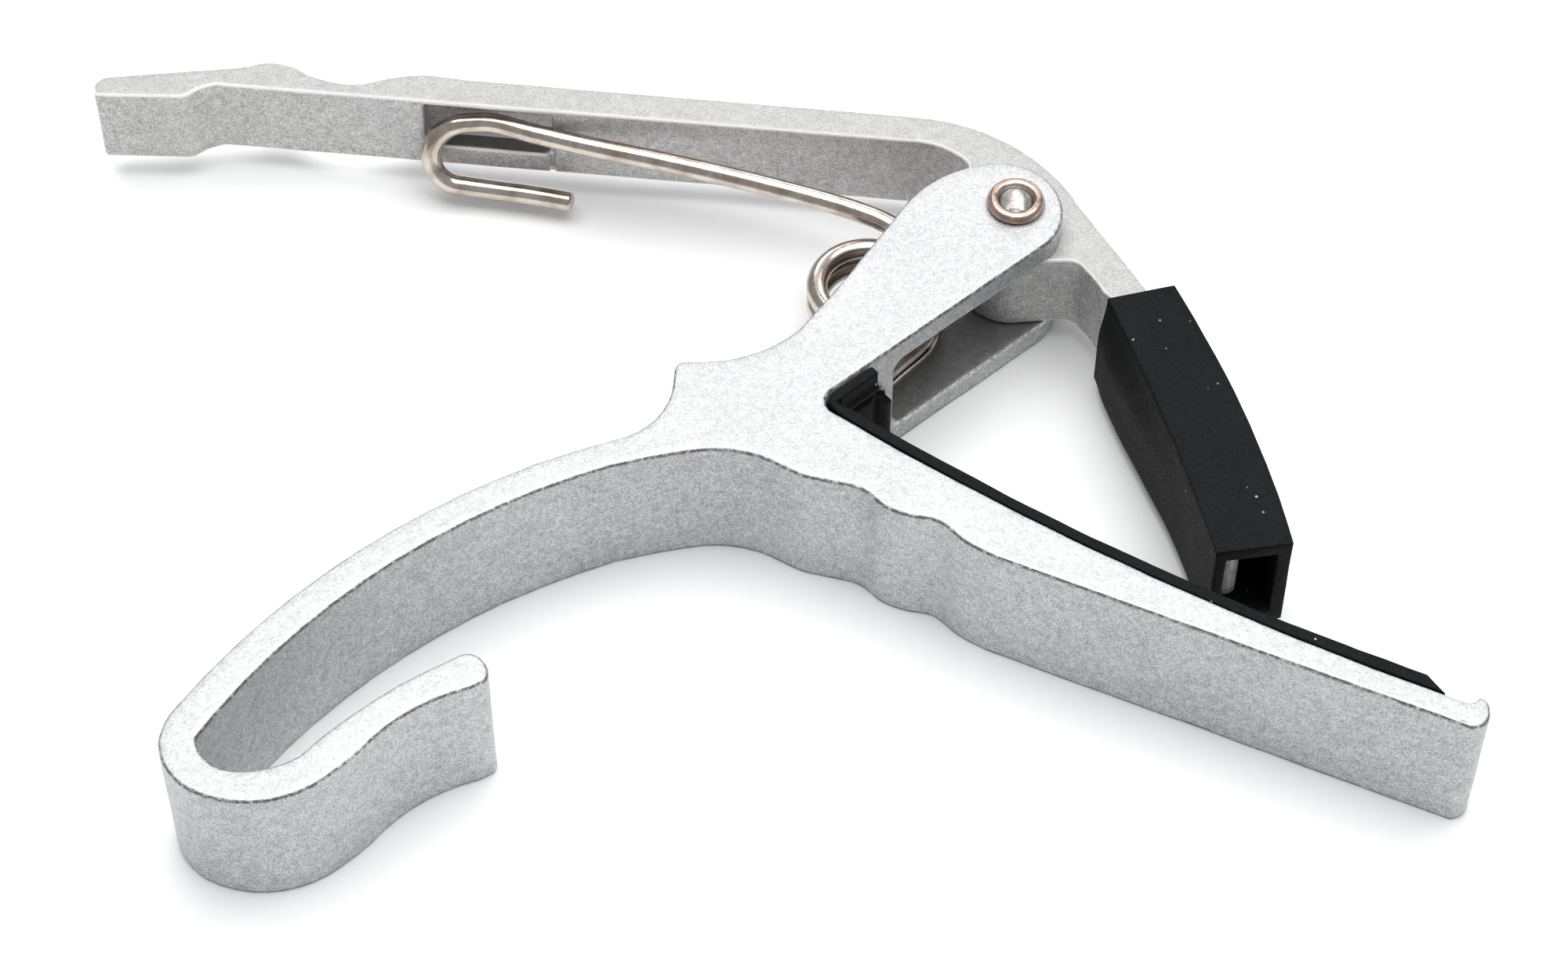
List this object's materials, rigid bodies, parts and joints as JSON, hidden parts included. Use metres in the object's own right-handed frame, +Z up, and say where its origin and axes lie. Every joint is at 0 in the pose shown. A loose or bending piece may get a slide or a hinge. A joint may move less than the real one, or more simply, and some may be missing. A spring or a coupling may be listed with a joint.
{
  "type": "guitar capo",
  "caption": "Spring-loaded trigger capo: cast body with curved handle and bridge-pin hook, cast lever on a rivet, torsion spring, rubber jaw sleeve and string pad.",
  "frame": {"origin": "centre of the bounding box in plan, on the underside the capo lies on", "axes": "+X along the handles towards the clamping end, +Y from the clamping arm towards the lever, +Z up through the thickness, along the pivot"},
  "size_m": [0.1034, 0.07, 0.0128],
  "materials": {
    "cast_body_paint": "satin silver paint on a casting, fine metallic grain, paint worn thin on the edges",
    "cast_lever_paint": "satin silver paint on a casting, slightly warmer, bright along the edges",
    "rivet_metal": "polished copper-toned semi-tubular rivet with a rolled rim",
    "spring_wire": "bright nickel-plated round wire",
    "sleeve_rubber": "matt black rubber, crisp edges, fine streaks",
    "pad_rubber": "matt black rubber with a little white dust"
  },
  "bodies": {
    "frame": {"body_casting": "cast_body_paint", "pivot_rivet": "rivet_metal", "string_pad": "pad_rubber", "spring_coil": "spring_wire"},
    "lever": {"lever_casting": "cast_lever_paint", "jaw_sleeve": "sleeve_rubber", "spring_arm": "spring_wire"}
  },
  "joints": [
    {"name": "lever_pivot", "type": "hinge", "parent": "frame", "child": "lever", "pos_m": [0.02014, 0.01875, 0.006], "axis": [0, 0, 1], "range_deg": [0, 30], "stiffness_Nm_per_rad": 0.6, "springref_deg": -28.65, "deforming": ["spring_arm"]}
  ]
}
